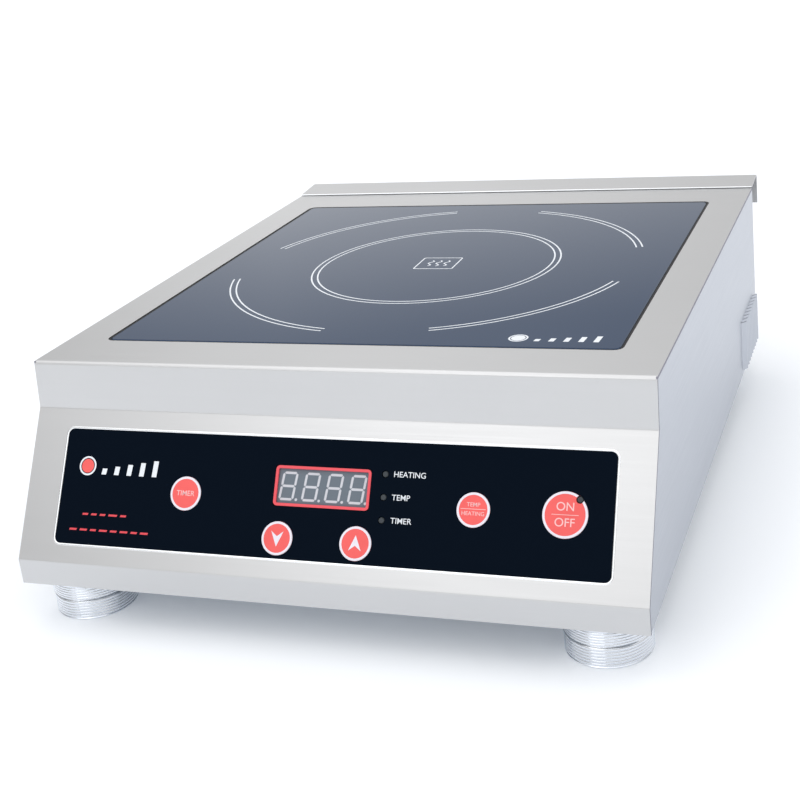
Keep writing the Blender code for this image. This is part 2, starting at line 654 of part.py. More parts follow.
# ---------------------------------------------------------------- cooling and power


def make_fan():
    outer = rounded_rectangle(FAN_HALF, FAN_HALF, 4 * MM, FAN_CENTRE)
    top = FAN_BOTTOM + FAN_HEIGHT
    frame = place("fan_frame", prism(outer, FAN_BOTTOM, top), "fan_plastic")
    cut(frame, prism(circle(FAN_BORE, 40, FAN_CENTRE), FAN_BOTTOM - SHEET, top + SHEET))
    spider_top = FAN_BOTTOM + SPIDER_HEIGHT
    x, y = FAN_CENTRE
    arm = 2 * MM
    reach = FAN_BORE + SHEET
    unite(frame,
          block((x - reach, y - arm, FAN_BOTTOM), (x + reach, y + arm, spider_top)),
          block((x - arm, y - reach, FAN_BOTTOM), (x + arm, y + reach, spider_top)),
          prism(circle(FAN_HUB, 24, FAN_CENTRE), FAN_BOTTOM, spider_top))
    shaft = 2 * MM
    cut(frame, prism(circle(shaft + GAP, 16, FAN_CENTRE), FAN_BOTTOM - SHEET, spider_top + SHEET))
    hub_low = spider_top + 1 * MM
    hub_high = top - 1 * MM
    profile = [(0, FAN_BOTTOM + SHEET), (shaft, FAN_BOTTOM + SHEET), (shaft, hub_low), (FAN_HUB, hub_low),
               (FAN_HUB, hub_high - 1 * MM), (FAN_HUB - 1 * MM, hub_high), (0, hub_high)]
    rotor = place("fan_rotor", turned(profile, 28), "fan_plastic", smooth=True)
    rotor.location = (x, y, 0)
    for i in range(FAN_BLADES):
        turn = (i + BLADE_PHASE) * 2 * math.pi / FAN_BLADES
        unite(rotor, fan_blade(turn, hub_low + 1 * MM, hub_high - 1 * MM))
    for modifier in rotor.modifiers:
        modifier.object.location = rotor.location


def fan_blade(turn, low, high, steps=4):
    """A blade twisted about the fan's axis: its leading edge is low and its trailing edge is high."""
    thickness = 1.6 * MM
    blade = bmesh.new()
    rings = []
    for i in range(steps + 1):
        radius = FAN_HUB - 1 * MM + (FAN_TIP - FAN_HUB + 1 * MM) * i / steps
        sweep = math.radians(34 - 6 * i / steps)
        ring = []
        for angle, height in ((0, low), (sweep, high - thickness), (sweep, high), (0, low + thickness)):
            around = turn + angle
            ring.append(blade.verts.new((radius * math.cos(around), radius * math.sin(around), height)))
        rings.append(ring)
    blade.faces.new(rings[0])
    blade.faces.new(rings[-1])
    for ring, following in zip(rings, rings[1:]):
        for i in range(4):
            j = (i + 1) % 4
            blade.faces.new((ring[i], ring[j], following[j], following[i]))
    return blade


def make_power_unit():
    place("power_pcb", block(POWER_BOARD_LOW, POWER_BOARD_HIGH), "circuit_board")
    left, right = HEATSINK_LOW.x, HEATSINK_HIGH.x
    bottom = HEATSINK_LOW.z
    pitch = (right - left - FIN_THICKNESS) / (HEATSINK_FINS - 1)
    comb = [(left, bottom), (right, bottom)]
    for i in reversed(range(HEATSINK_FINS)):
        fin = left + i * pitch
        foot = bottom + HEATSINK_BASE
        comb += [(fin + FIN_THICKNESS, foot), (fin + FIN_THICKNESS, HEATSINK_HIGH.z), (fin, HEATSINK_HIGH.z),
                 (fin, foot)]
    comb = [point for i, point in enumerate(comb) if point not in ((right, bottom + HEATSINK_BASE),
                                                                   (left, bottom + HEATSINK_BASE))]
    place("heatsink", prism(comb, HEATSINK_LOW.y, HEATSINK_HIGH.y, "Y"), "heatsink_aluminium")
    package_rear = HEATSINK_LOW.y - GAP
    for name, x in (("switching_transistor", 50 * MM), ("bridge_rectifier", 92 * MM)):
        place(name, block((x, package_rear - PACKAGE_THICKNESS, PACKAGE_HEIGHTS[0]),
                          (x + PACKAGE_WIDTH, package_rear, PACKAGE_HEIGHTS[1])), "switch_black")
    board = POWER_BOARD_HIGH.z + GAP
    for name, x, y, long, wide, high in (("filter_capacitor", 20, -95, 46, 20, 36),
                                         ("resonant_capacitor", 85, -95, 46, 18, 30)):
        outline = rounded_rectangle(long * MM / 2, wide * MM / 2, 3 * MM, (x * MM + long * MM / 2, y * MM), 2)
        place(name, prism(outline, board, board + high * MM), "capacitor_yellow")
    choke = [(9 * MM, board), (17 * MM, board), (19 * MM, board + 4 * MM), (19 * MM, board + 12 * MM),
             (17 * MM, board + 16 * MM), (9 * MM, board + 16 * MM)]
    place("choke", turned(choke, 18, (60 * MM, -45 * MM, 0)), "copper_winding", smooth=True)


def make_cable_gland():
    """A screwed gland through the rear panel, with its nut outside and the cord's bore left open."""
    bore = 4.5 * MM
    wall = REAR_WALL + GAP
    inside = REAR_WALL - SHEET - GAP
    profile = [(bore, inside - 7 * MM), (12 * MM, inside - 7 * MM), (12 * MM, inside), (GLAND_HOLE - GAP, inside),
               (GLAND_HOLE - GAP, wall), (12 * MM, wall), (12 * MM, wall + 6 * MM), (10 * MM, wall + 8 * MM),
               (9 * MM, wall + 17 * MM), (6 * MM, wall + 20 * MM), (bore, wall + 20 * MM)]
    x, z = GLAND_PLACE
    place("cable_gland", turned(profile, 16, (x, 0, z), "Y"), "gland_plastic")


# ---------------------------------------------------------------- feet


def make_feet():
    """Each foot screws up and down on its stud, inside a fixed collar under the tray."""
    hole = FOOT_STUD_RADIUS + STUD_CLEARANCE
    collar_top = BASE - GAP
    collar = [(hole, COLLAR_BOTTOM), (COLLAR_RADIUS - 0.4 * MM, COLLAR_BOTTOM),
              (COLLAR_RADIUS, COLLAR_BOTTOM + 0.4 * MM), (COLLAR_RADIUS, collar_top), (hole, collar_top)]
    seat = COLLAR_BOTTOM - GAP
    foot = [(0, 0), (FOOT_RADIUS - 2.6 * MM, 0), (FOOT_RADIUS - 0.8 * MM, 0.8 * MM), (FOOT_RADIUS, 2.6 * MM),
            (FOOT_RADIUS, seat - 0.3 * MM), (FOOT_RADIUS - 0.3 * MM, seat), (FOOT_STUD_RADIUS, seat),
            (FOOT_STUD_RADIUS, FOOT_STUD_TOP), (0, FOOT_STUD_TOP)]
    for end, y in FOOT_Y.items():
        for side, sign in (("left", -1), ("right", 1)):
            centre = (sign * FOOT_X[end], y, 0)
            place(f"foot_collar_{end}_{side}", turned(collar, 24, centre), "foot_plastic", smooth=True)
            place(f"foot_{end}_{side}", turned(foot, 24, centre), "foot_plastic", smooth=True)


def build():
    for leftover in list(bpy.data.objects):
        bpy.data.objects.remove(leftover)
    panel = make_panel_frame()
    bpy.context.view_layer.update()
    make_top_cover(panel)
    make_side_panels()
    make_rear_canopy()
    make_rear_panel()
    make_base_tray()
    make_base_screws()
    make_glass_top()
    make_overlay(panel)
    make_carrier(panel)
    make_control_board(panel)
    make_buttons(panel)
    make_lamps(panel)
    make_induction_unit()
    make_fan()
    make_power_unit()
    make_cable_gland()
    make_feet()


build()
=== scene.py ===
"""Looks of the countertop induction hob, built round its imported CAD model."""
import json
import math

import bmesh
import bpy
from mathutils import Matrix, Vector


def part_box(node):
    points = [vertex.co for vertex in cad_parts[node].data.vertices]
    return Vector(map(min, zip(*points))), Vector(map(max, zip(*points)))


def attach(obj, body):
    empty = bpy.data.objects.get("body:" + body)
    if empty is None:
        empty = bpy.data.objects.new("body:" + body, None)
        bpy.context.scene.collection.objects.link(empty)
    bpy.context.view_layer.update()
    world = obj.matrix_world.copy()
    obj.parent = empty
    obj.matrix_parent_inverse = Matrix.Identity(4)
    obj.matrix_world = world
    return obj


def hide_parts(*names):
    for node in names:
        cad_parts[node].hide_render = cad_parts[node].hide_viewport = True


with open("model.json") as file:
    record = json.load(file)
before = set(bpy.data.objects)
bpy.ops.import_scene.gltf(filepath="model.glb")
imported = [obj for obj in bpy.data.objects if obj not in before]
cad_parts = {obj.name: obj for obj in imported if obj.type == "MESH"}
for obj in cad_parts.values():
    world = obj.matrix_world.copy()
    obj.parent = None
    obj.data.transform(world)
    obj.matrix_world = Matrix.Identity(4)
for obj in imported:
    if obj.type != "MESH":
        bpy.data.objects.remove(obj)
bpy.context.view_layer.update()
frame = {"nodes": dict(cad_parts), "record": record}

MM = 0.001
# How far printed marks stand above the face they are on
LIFT = 0.03 * MM

# Places read from the frame
COVER_LOW, COVER_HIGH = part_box("top_cover")
GLASS_LOW, GLASS_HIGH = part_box("glass_plate")
CANOPY_LOW, CANOPY_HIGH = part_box("rear_canopy")
TOP = COVER_HIGH.z
BASE = COVER_LOW.z
FRONT = COVER_LOW.y
REAR_WALL = COVER_HIGH.y
HALF_WIDTH = (COVER_HIGH.x - COVER_LOW.x) / 2

# The case's section, as in the CAD model
BAND_HEIGHT = 25 * MM
BAND_LEAN = 2.5 * MM
SLOPE_RUN = 42 * MM
SLOPE_DROP = 68 * MM
SHEET = 1 * MM
DECK_FRONT = FRONT + SLOPE_RUN + BAND_LEAN
SLOPE_ANGLE = math.atan2(SLOPE_DROP, SLOPE_RUN)
RING_CENTRE = Vector((0, DECK_FRONT + 174.3 * MM))

# Control face: x to the right, y up the slope, z outwards, origin on the upper crease
PANEL = (Matrix.Translation((0, DECK_FRONT - BAND_LEAN, TOP - BAND_HEIGHT))
         @ Matrix.Rotation(SLOPE_ANGLE, 4, "X"))
WINDOW_CENTRE = Vector((1.0, -40.2)) * MM
WINDOW_HALF = Vector((146.3, 30)) * MM
WINDOW_CORNER = 3.5 * MM
OVERLAY_FACE = -0.4 * MM
BUTTON_FACE = -0.2 * MM
DISPLAY_FACE = -1.6 * MM
DISPLAY_CENTRE = Vector((1.5, -34.2)) * MM
BUTTONS = {
    "timer": (-72.5, -40.9, 8.5),
    "down": (-19.6, -60.0, 8.2),
    "up": (21.8, -60.0, 8.2),
    "temp_heating": (79.6, -40.7, 8.2),
    "on_off": (123.8, -40.5, 10.8),
}
LAMPS = {
    "heating": (34.0, -26.1),
    "temp": (34.0, -37.2),
    "timer": (34.0, -48.2),
    "power": (130.4, -33.2),
}
LAMP_RADIUS = 1.5 * MM

# Button caps: the pale rim, the flange behind the overlay, and the stem over the switch
RIM_WIDTH = 1.15 * MM
FLANGE_FRONT = -1.8 * MM
FLANGE_BACK = -3.0 * MM
FLANGE_REACH = 0.8 * MM
STEM_RADIUS = 2 * MM
STEM_END = -7.6 * MM

# Feet: the mould seam, the stud and its bore in the collar, and the ribs
SEAM_HEIGHT = 0.16 * MM
SEAM_TURNS = (100, 280)
SEAM_HALF_TURN = math.radians(1.6)
STUD_RADIUS = 4 * MM
BORE_RADIUS = 4.5 * MM
RIB_PITCH = 1.5 * MM
RIB_DEPTH = 0.3 * MM

# Growth of a letter's outline, as a part of the word's size
WORD_WEIGHT = 0.003

# ---------------------------------------------------------------- materials


class Shader:
    """A Principled material with short calls for the nodes that feed it."""

    def __init__(self, name, colour, roughness, metallic=0.0, **sockets):
        self.material = bpy.data.materials.new(name)
        self.material.use_nodes = True
        self.nodes = self.material.node_tree.nodes
        self.links = self.material.node_tree.links
        self.principled = self.nodes["Principled BSDF"]
        self.set("Base Color", (*colour, 1))
        self.set("Roughness", roughness)
        self.set("Metallic", metallic)
        for socket, value in sockets.items():
            self.set(socket.replace("_", " "), value)

    def set(self, socket, value):
        self.principled.inputs[socket].default_value = value

    def link(self, source, target):
        self.links.new(source, target)

    def noise(self, scale, stretch=(1, 1, 1), detail=4.0, roughness=0.6):
        """Noise over the object's own metres, stretched by a factor along each axis."""
        place = self.nodes.new("ShaderNodeTexCoord")
        mapping = self.nodes.new("ShaderNodeMapping")
        mapping.inputs["Scale"].default_value = stretch
        texture = self.nodes.new("ShaderNodeTexNoise")
        texture.inputs["Scale"].default_value = scale
        texture.inputs["Detail"].default_value = detail
        texture.inputs["Roughness"].default_value = roughness
        self.link(place.outputs["Object"], mapping.inputs["Vector"])
        self.link(mapping.outputs["Vector"], texture.inputs["Vector"])
        return texture.outputs["Fac"]

    def spread(self, source, low, high, start=0.3, end=0.7):
        """A value that runs from low to high as the source runs from start to end."""
        ramp = self.nodes.new("ShaderNodeMapRange")
        ramp.inputs["From Min"].default_value = start
        ramp.inputs["From Max"].default_value = end
        ramp.inputs["To Min"].default_value = low
        ramp.inputs["To Max"].default_value = high
        self.link(source, ramp.inputs["Value"])
        return ramp.outputs["Result"]

    def tint(self, source, low, high, start=0.3, end=0.7):
        """A colour that runs from low to high as the source runs from start to end."""
        ramp = self.nodes.new("ShaderNodeValToRGB")
        ramp.color_ramp.elements[0].position = start
        ramp.color_ramp.elements[0].color = (*low, 1)
        ramp.color_ramp.elements[1].position = end
        ramp.color_ramp.elements[1].color = (*high, 1)
        self.link(source, ramp.inputs["Fac"])
        self.link(ramp.outputs["Color"], self.principled.inputs["Base Color"])

    def rough(self, source, low, high):
        """Roughness that varies with the source."""
        self.link(self.spread(source, low, high), self.principled.inputs["Roughness"])

    def bump(self, source, height, strength=1.0):
        node = self.nodes.new("ShaderNodeBump")
        node.inputs["Distance"].default_value = height
        node.inputs["Strength"].default_value = strength
        self.link(source, node.inputs["Height"])
        self.link(node.outputs["Normal"], self.principled.inputs["Normal"])


def brushed(name, colour, stretch, roughness=(0.3, 0.42)):
    """Satin steel whose scratches run along the axis with the smallest stretch."""
    made = Shader(name, colour, sum(roughness) / 2, 1.0)
    scratches = made.noise(1.0, stretch, detail=6.0, roughness=0.7)
    broad = made.noise(9.0, detail=2.0)
    low = tuple(c * 0.965 for c in colour)
    made.tint(broad, low, colour, 0.25, 0.75)
    made.rough(scratches, *roughness)
    made.bump(scratches, 0.004 * MM, 0.5)
    return made.material


def plastic(name, colour, roughness, grain=2200.0, depth=0.004, **sockets):
    """Moulded plastic with a fine grain."""
    made = Shader(name, colour, roughness, **sockets)
    fine = made.noise(grain, detail=3.0)
    made.tint(made.noise(60.0, detail=2.0), tuple(c * 0.93 for c in colour), colour)
    made.rough(fine, roughness - 0.04, roughness + 0.06)
    made.bump(fine, depth * MM, 0.4)
    return made.material


ALONG_X = (14, 2600, 2600)
ALONG_Y = (2600, 14, 2600)
STEEL_COLOUR = (0.6, 0.603, 0.61)
# Painted shade: the side panels are the same steel as the deck, drawn darker and bluer for the shade that
# falls on them
SHADED_SIDE_COLOUR = (0.504, 0.527, 0.576)
MATERIALS = {
    "brushed_steel": brushed("steel_along_x", STEEL_COLOUR, ALONG_X),
    # Painted shade: a darker, bluer copy of the deck steel for the side panels
    "shaded_side_steel": brushed("steel_along_y_painted_shade", SHADED_SIDE_COLOUR, ALONG_Y),
    "galvanised_steel": brushed("galvanised", (0.5, 0.52, 0.54), (60, 60, 60), (0.4, 0.55)),
    "carrier_plastic": plastic("carrier_black", (0.04, 0.04, 0.042), 0.5),
    "circuit_board": plastic("solder_mask", (0.015, 0.13, 0.05), 0.35),
    "switch_black": plastic("switch_black", (0.03, 0.03, 0.032), 0.5),
    "copper_winding": brushed("enamelled_copper", (0.72, 0.3, 0.13), (400, 400, 400), (0.28, 0.4)),
    "ferrite": plastic("ferrite_grey", (0.05, 0.05, 0.055), 0.65, 900.0, 0.02),
    "insulation": plastic("mica_cream", (0.72, 0.68, 0.55), 0.55, 300.0, 0.01),
    "sensor_ceramic": plastic("sensor_white", (0.8, 0.79, 0.75), 0.45),
    "heatsink_aluminium": brushed("extruded_aluminium", (0.72, 0.73, 0.74), ALONG_Y),
    "capacitor_yellow": plastic("capacitor_yellow", (0.72, 0.5, 0.06), 0.35),
    "fan_plastic": plastic("fan_black", (0.03, 0.03, 0.032), 0.45),
    "gland_plastic": plastic("gland_black", (0.04, 0.04, 0.042), 0.48),
    "foot_plastic": Shader("foot_silver", (0.78, 0.81, 0.86), 0.2, 1.0).material,
    "screw_steel": brushed("zinc_plate", (0.62, 0.62, 0.6), (300, 300, 300), (0.2, 0.32)),
    "black_silicone": plastic("seal_black", (0.012, 0.012, 0.014), 0.55, Specular_IOR_Level=0.25),
    "button_red": plastic("button_red", (0.9, 0.13, 0.125), 0.42, Specular_IOR_Level=0.25),
    "bezel_red": plastic("bezel_red", (0.85, 0.1, 0.125), 0.42, Specular_IOR_Level=0.25),
    "display_grey": plastic("display_grey", (0.16, 0.19, 0.225), 0.5, Specular_IOR_Level=0.1),
    "lamp_grey": plastic("lamp_grey", (0.05, 0.058, 0.066), 0.4, Specular_IOR_Level=0.2),
    # Painted highlight: a brighter, glossier copy of the case steel for thin edges that catch the light
    "painted_highlight_steel": brushed("painted_highlight_steel", (0.86, 0.88, 0.9), (300, 300, 300), (0.16, 0.24)),
    # Partly painted shadow: a dark strip for the cover's cut edge and the shade in its joint with the side
    # panels
    "seam_edge_and_shadow_grey": plastic("seam_edge_and_shadow_grey", (0.27, 0.27, 0.32), 0.6, Specular_IOR_Level=0.1),
    "print_white": plastic("print_white", (0.84, 0.88, 0.93), 0.45),
    "print_lilac": plastic("print_lilac", (0.84, 0.80, 0.88), 0.45),
    "print_pink": plastic("print_pink", (0.95, 0.56, 0.56), 0.45),
    "print_red": plastic("print_red", (0.78, 0.06, 0.08), 0.45),
    "segment_grey": plastic("segment_grey", (0.62, 0.63, 0.68), 0.45, Specular_IOR_Level=0.2),
}


def make_glass_material():
    """Black glass ceramic: a polished skin over a blue-black body with a faint ripple."""
    made = Shader("glass_black", (0.004, 0.03, 0.085), 0.045, IOR=1.42)
    ripple = made.noise(22.0, detail=1.0)
    made.rough(made.noise(500.0), 0.035, 0.06)
    made.bump(ripple, 0.02 * MM, 0.2)
    MATERIALS["black_glass"] = made.material


def make_overlay_material():
    """Printed polycarbonate: near black, with a fine texture that breaks up reflections."""
    made = Shader("overlay_black", (0.0035, 0.0065, 0.0125), 0.45, Specular_IOR_Level=0.0)
    fine = made.noise(4200.0, detail=2.0)
    made.rough(fine, 0.34, 0.46)
    made.bump(fine, 0.002 * MM, 0.3)
    MATERIALS["overlay_black"] = made.material


make_glass_material()
make_overlay_material()


def finish_cad_nodes():
    """Give every carried-over CAD node the material of its slot, but the side panels a darker, bluer copy of
    the steel that paints their shade.
    """
    for part in frame["record"]["subparts"]:
        name = part["node"]
        finish = "shaded_side_steel" if name.startswith("side_panel") else part["material_slot"]
        node = frame["nodes"][name]
        node.data.materials.clear()
        node.data.materials.append(MATERIALS[finish])
        node.data.shade_smooth()
        node.data.set_sharp_from_angle(angle=math.radians(35))


# ---------------------------------------------------------------- meshes


def circle(radius, count, centre=(0, 0)):
    turns = [2 * math.pi * i / count for i in range(count)]
    return [(centre[0] + radius * math.cos(a), centre[1] + radius * math.sin(a)) for a in turns]


def rounded_rectangle(half_x, half_y, radius, centre=(0, 0), steps=6):
    points = []
    for quarter, (sign_x, sign_y) in enumerate(((1, 1), (-1, 1), (-1, -1), (1, -1))):
        corner_x = centre[0] + sign_x * (half_x - radius)
        corner_y = centre[1] + sign_y * (half_y - radius)
        for i in range(steps + 1):
            angle = (quarter + i / steps) * math.pi / 2
            points.append((corner_x + radius * math.cos(angle), corner_y + radius * math.sin(angle)))
    return points


def tube(rings, capped=True, looped=False):
    """A surface through rings of points, each with the same count."""
    solid = bmesh.new()
    made = [[solid.verts.new(point) for point in ring] for ring in rings]
    pairs = list(zip(made, made[1:] + (made[:1] if looped else [])))
    count = len(rings[0])
    for ring, following in pairs:
        for i in range(count):
            j = (i + 1) % count
            solid.faces.new((ring[i], ring[j], following[j], following[i]))
    if capped:
        solid.faces.new(made[0])
        solid.faces.new(made[-1])
    return solid


def prism(outline, low, high, axis="Z"):
    place = {
        "X": lambda a, b, h: (h, a, b),
        "Z": lambda a, b, h: (a, b, h),
    }[axis]
    return tube([[place(a, b, low) for a, b in outline], [place(a, b, high) for a, b in outline]])


def turned(profile, count, radius_change=None):
    """Turn (radius, height) points about Z. radius_change(angle) is added to the outer radii."""
    solid = bmesh.new()
    rings = []
    for radius, height in profile:
        ring = []
        for i in range(count if radius > 0 else 1):
            angle = 2 * math.pi * i / count
            grown = radius + (radius_change(angle) if radius_change and radius > 0 else 0)
            ring.append(solid.verts.new((grown * math.cos(angle), grown * math.sin(angle), height)))
        rings.append(ring)
    closed = profile[0][0] > 0
    for ring, following in zip(rings, rings[1:] + (rings[:1] if closed else [])):
        for i in range(count):
            j = (i + 1) % count
            corners = [ring[i % len(ring)], ring[j % len(ring)],
                       following[j % len(following)], following[i % len(following)]]
            solid.faces.new(list(dict.fromkeys(corners)))
    return solid


def ribbon(path, width, low, high, closed=False):
    """A flat printed line of a given width along a path."""
    path = [Vector(point) for point in path]
    sides = []
    for i, point in enumerate(path):
        before = path[i - 1] if closed or i else point
        after = path[(i + 1) % len(path)] if closed or i < len(path) - 1 else point
        along = (after - before).normalized()
        across = Vector((-along.y, along.x)) * width / 2
        sides.append((point + across, point - across))
    rings = [[(*left, low), (*right, low), (*right, high), (*left, high)] for left, right in sides]
    return tube(rings, capped=not closed, looped=closed)


def together(solids):
    joined = solids[0]
    for solid in solids[1:]:
        mesh = bpy.data.meshes.new("joining")
        solid.to_mesh(mesh)
        solid.free()
        joined.from_mesh(mesh)
        bpy.data.meshes.remove(mesh)
    return joined


def piece(name, solid, material, body="case", matrix=None, smooth=30, stands_for=()):
    """Make a named piece in the row frame that rides on a body."""
    bmesh.ops.recalc_face_normals(solid, faces=solid.faces)
    mesh = bpy.data.meshes.new(name)
    solid.to_mesh(mesh)
    solid.free()
    if matrix:
        mesh.transform(matrix)
    if smooth:
        mesh.shade_smooth()
        mesh.set_sharp_from_angle(angle=math.radians(smooth))
    made = bpy.data.objects.new(name, mesh)
    bpy.context.scene.collection.objects.link(made)
    mesh.materials.append(MATERIALS[material])
    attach(made, body)
    if stands_for:
        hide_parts(*stands_for)
    return made


def cutter(solid):
    """A plain object in the scene that carve cuts with."""
    bmesh.ops.recalc_face_normals(solid, faces=solid.faces)
    mesh = bpy.data.meshes.new("cutter")
    solid.to_mesh(mesh)
    solid.free()
    made = bpy.data.objects.new("cutter", mesh)
    bpy.context.scene.collection.objects.link(made)
    return made


def carve(target, solid):
    """Cut a solid out of a piece for good, then drop it."""
    tool = cutter(solid)
    modifier = target.modifiers.new("cut", "BOOLEAN")
    modifier.operation = "DIFFERENCE"
    modifier.solver = "EXACT"
    modifier.object = tool
    bpy.context.view_layer.objects.active = target
    bpy.ops.object.modifier_apply(modifier=modifier.name)
    bpy.data.objects.remove(tool)


def words(name, text, size, centre, matrix, face, material="print_white", body="case"):
    """A printed word, centred on a point of the panel."""
    curve = bpy.data.curves.new(name, "FONT")
    curve.body = text
    curve.size = size
    curve.align_x = "CENTER"
    curve.align_y = "CENTER"
    curve.extrude = LIFT
    curve.offset = size * WORD_WEIGHT
    made = bpy.data.objects.new(name, curve)
    bpy.context.scene.collection.objects.link(made)
    made.matrix_world = matrix @ Matrix.Translation((centre[0], centre[1], face))
    curve.materials.append(MATERIALS[material])
    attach(made, body)


# ---------------------------------------------------------------- case details


def framed(section, half_x, half_y, radius, centre):
    """Sweep a section of (distance outside the rectangle, height) points round a rectangle."""
    rings = []
    for distance, height in section:
        outline = rounded_rectangle(half_x + distance, half_y + distance, radius + distance, centre)
        rings.append([(x, y, height) for x, y in outline])
    return tube(rings, capped=False, looped=True)


def make_window_bead():
    """A polished bead between the steel's cut edge and the printed overlay, drawn brighter than the steel to
    paint its highlight line.
    """
    inner, outer = -0.35 * MM, 1.0 * MM
    low = OVERLAY_FACE - 0.3 * MM
    section = [(inner, low), (inner, OVERLAY_FACE + 0.12 * MM)]
    for i in range(7):
        angle = math.pi * (1 - i / 6)
        section.append(((inner + outer) / 2 + (outer - inner) / 2 * math.cos(angle),
                        -0.2 * MM + 0.3 * MM * math.sin(angle)))
    section.append((outer, low))
    piece("window_bead", framed(section, *WINDOW_HALF, WINDOW_CORNER, WINDOW_CENTRE), "painted_highlight_steel",
          matrix=PANEL, smooth=60)


def case_path(inset):
    """Points down the case's side view, from the rear of the deck to its lower front edge."""
    points = [Vector(point) for point in (
        (REAR_WALL, TOP), (DECK_FRONT, TOP), (DECK_FRONT - BAND_LEAN, TOP - BAND_HEIGHT),
        (FRONT, TOP - BAND_HEIGHT - SLOPE_DROP), (FRONT, BASE))]
    path = []
    for i, point in enumerate(points):
        before = (point - points[i - 1]).normalized() if i else Vector((-1, 0))
        after = (points[i + 1] - point).normalized() if i < len(points) - 1 else before
        middle = (before + after).normalized()
        path.append(point + Vector((-middle.y, middle.x)) * inset / middle.dot(after))
    return path


def make_seam_edges_and_shadows():
    """The dull cut edge of the folded cover, widened past the sheet into a painted shadow of its joint with
    each side panel.
    """
    outer, inner = case_path(0.12 * MM), case_path(SHEET + 0.45 * MM)
    for side, sign in (("left", -1), ("right", 1)):
        face = sign * (HALF_WIDTH + 0.04 * MM)
        back = sign * (HALF_WIDTH - 0.6 * MM)
        rings = [[(back, *a), (face, *a), (face, *b), (back, *b)] for a, b in zip(outer, inner)]
        piece(f"seam_{side}", tube(rings), "seam_edge_and_shadow_grey", smooth=0)


def make_canopy_hem():
    """The rolled edge where the canopy laps over the deck, drawn brighter than the steel to paint its
    highlight line.
    """
    radius = 0.45 * MM
    middle = (CANOPY_LOW.y, TOP + 0.65 * MM)
    hem = prism(circle(radius, 12, middle), -HALF_WIDTH + 0.2 * MM, HALF_WIDTH - 0.2 * MM, "X")
    piece("canopy_hem", hem, "painted_highlight_steel", smooth=60)


# ---------------------------------------------------------------- glass prints

RING_RADIUS = 74.6 * MM
ARC_RADIUS = 122.8 * MM
PRINT_WIDTH = 0.9 * MM
PRINT_PITCH = 3.6 * MM


def arc_path(radius, start, end, steps):
    turns = [math.radians(start + (end - start) * i / steps) for i in range(steps + 1)]
    return [RING_CENTRE + Vector((radius * math.cos(a), radius * math.sin(a))) for a in turns]


def make_glass_prints():
    """The pan ring, four double arcs round it, and a heat icon in its middle."""
    low, high = GLASS_HIGH.z - LIFT, GLASS_HIGH.z + LIFT
    rings = [ribbon(arc_path(RING_RADIUS - inset, 0, 357.5, 143), PRINT_WIDTH, low, high, closed=True)
             for inset in (0, PRINT_PITCH)]
    piece("pan_ring_print", together(rings), "print_white")
    quarters = {"rear_right": (16, 74), "rear_left": (102, 164), "front_left": (195, 259),
                "front_right": (287, 344)}
    for name, (start, end) in quarters.items():
        lines = [ribbon(arc_path(ARC_RADIUS - inset, start, end, 40), PRINT_WIDTH, low, high)
                 for inset in (0, PRINT_PITCH)]
        piece(f"arc_print_{name}", together(lines), "print_white")
    centre = RING_CENTRE + Vector((1, 1)) * MM
    square = ribbon(rounded_rectangle(12 * MM, 11 * MM, 1 * MM, centre), 0.8 * MM, low, high, closed=True)
    waves = []
    for column in (-5, 0, 5):
        points = [centre + Vector((column + 1.2 * math.sin(math.pi * 3 * i / 24), -5.5 + 11 * i / 24)) * MM
                  for i in range(25)]
        waves.append(ribbon(points, 0.8 * MM, low, high))
    piece("heat_icon_print", together([square, *waves]), "print_white")


def make_level_icon(name, centre, size, matrix, face, dot_print):
    """A neutral mark: a ring round a dot, and five bars of rising height."""
    low, high = face - LIFT, face + LIFT
    ring = ribbon(circle(size * 0.5, 40, centre), size * 0.1, low, high, closed=True)
    bars = []
    for i in range(5):
        left = centre[0] + size * (0.95 + i * 0.82)
        bottom = centre[1] - size * 0.45
        height = size * (0.34 + i * 0.14)
        width = size * 0.3
        bars.append(prism([(left, bottom), (left + width, bottom), (left + width * 1.2, bottom + height),
                           (left + width * 0.2, bottom + height)], low, high))
    piece(name, together([ring, *bars]), "print_white", matrix=matrix)
    dot = prism(circle(size * 0.4, 32, centre), low, high)
    piece(f"{name}_dot", dot, dot_print, matrix=matrix)


# ---------------------------------------------------------------- control panel prints


# Left end, height and stroke lengths of the two red rules, in millimetres
RED_RULES = (
    (-130.8, -54.3, (3.2, 3.2, 3.2, 5.0, 3.4)),
    (-137.4, -62.3, (4.2, 4.2, 3.4, 4.6, 3.8, 4.4, 3.6, 4.4)),
)
RED_RULE_GAP = 1.9


def make_panel_prints():
    """The mark, the two broken red rules and the lamps' labels on the overlay."""
    low, high = OVERLAY_FACE - LIFT, OVERLAY_FACE + LIFT
    make_level_icon("panel_mark", (-131.2 * MM, -29.6 * MM), 9 * MM, PANEL, OVERLAY_FACE,
                    "button_red")
    dashes = []
    for left, y, lengths in RED_RULES:
        x = left
        for length in lengths:
            outline = [(x, y - 0.5), (x + length, y - 0.5), (x + length + 0.35, y + 0.5), (x + 0.35, y + 0.5)]
            dashes.append(prism([(a * MM, b * MM) for a, b in outline], low, high))
            x += length + RED_RULE_GAP
    piece("panel_red_rules", together(dashes), "print_red", matrix=PANEL)
    for name, text, (x, y) in (("heating", "HEATING", (46.6, -26.1)), ("temp", "TEMP", (43.0, -37.2)),
                               ("timer", "TIMER", (44.0, -48.2))):
        words(f"label_{name}", text, 3.9 * MM, (x * MM, y * MM), PANEL, OVERLAY_FACE)


